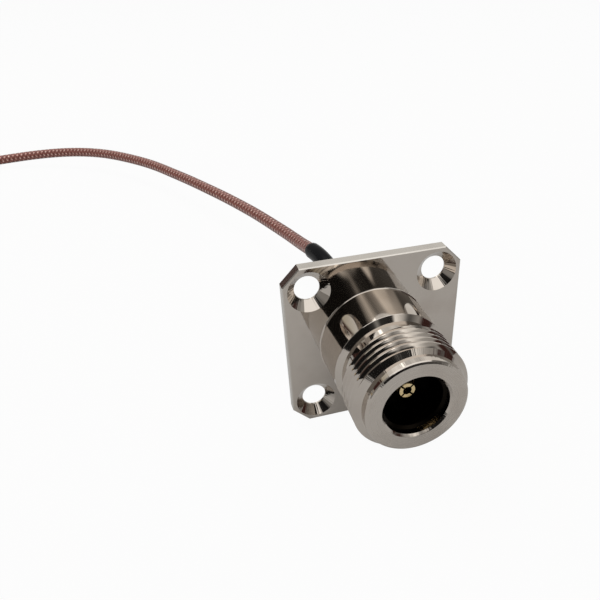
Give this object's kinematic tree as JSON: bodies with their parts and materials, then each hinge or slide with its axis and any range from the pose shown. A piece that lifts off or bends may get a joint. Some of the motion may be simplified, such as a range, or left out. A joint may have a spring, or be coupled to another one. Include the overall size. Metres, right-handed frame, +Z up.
{
  "type": "n type connector",
  "caption": "Panel-mount coaxial jack with a square flange, countersunk screw holes, threaded barrel and sprung centre contact, on a thin crimped coax pigtail with a screw-on plug.",
  "frame": {"origin": "on the surface that it stands on, under the middle of the jack from its front rim to the end of its ferrule", "axes": "+Z up, mating face towards -Y, cable leaves towards +Y, +X to the right seen from the front"},
  "size_m": [0.1181, 0.1629, 0.0254],
  "materials": {
    "nickel": "nickel plated, satin to bright",
    "contact_gold": "gold plated",
    "plug_gold": "gold plated",
    "spring_bronze": "plain",
    "insulator": "smooth white",
    "jacket": "clear brown over braid",
    "tinned_copper": "silver plated",
    "shrink_sleeve": "glossy black",
    "tie": "black",
    "gasket": "matt"
  },
  "bodies": {
    "jack": {"connector_body": "nickel", "front_insulator": "insulator", "rear_insulator": "insulator", "centre_contact": "contact_gold", "crimp_stem": "nickel", "crimp_ferrule": "nickel", "inner_conductor": "tinned_copper", "dielectric": "insulator", "braid": "tinned_copper", "heat_shrink": "shrink_sleeve", "cable": "jacket", "cable_coil": "jacket", "cable_tail": "jacket", "coil_tie": "tie", "plug_body": "plug_gold", "snap_ring": "spring_bronze", "plug_gasket": "gasket", "plug_insulator": "insulator", "plug_pin": "contact_gold", "plug_ferrule": "plug_gold", "plug_conductor": "tinned_copper", "plug_dielectric": "insulator", "plug_braid": "tinned_copper", "plug_heat_shrink": "shrink_sleeve"},
    "nut": {"coupling_nut": "plug_gold"}
  },
  "joints": [
    {"name": "nut_turn", "type": "hinge", "parent": "jack", "child": "nut", "pos_m": [-0.10075, 0.0898, 0.004], "axis": [0, -1, 0], "continuous": true}
  ]
}
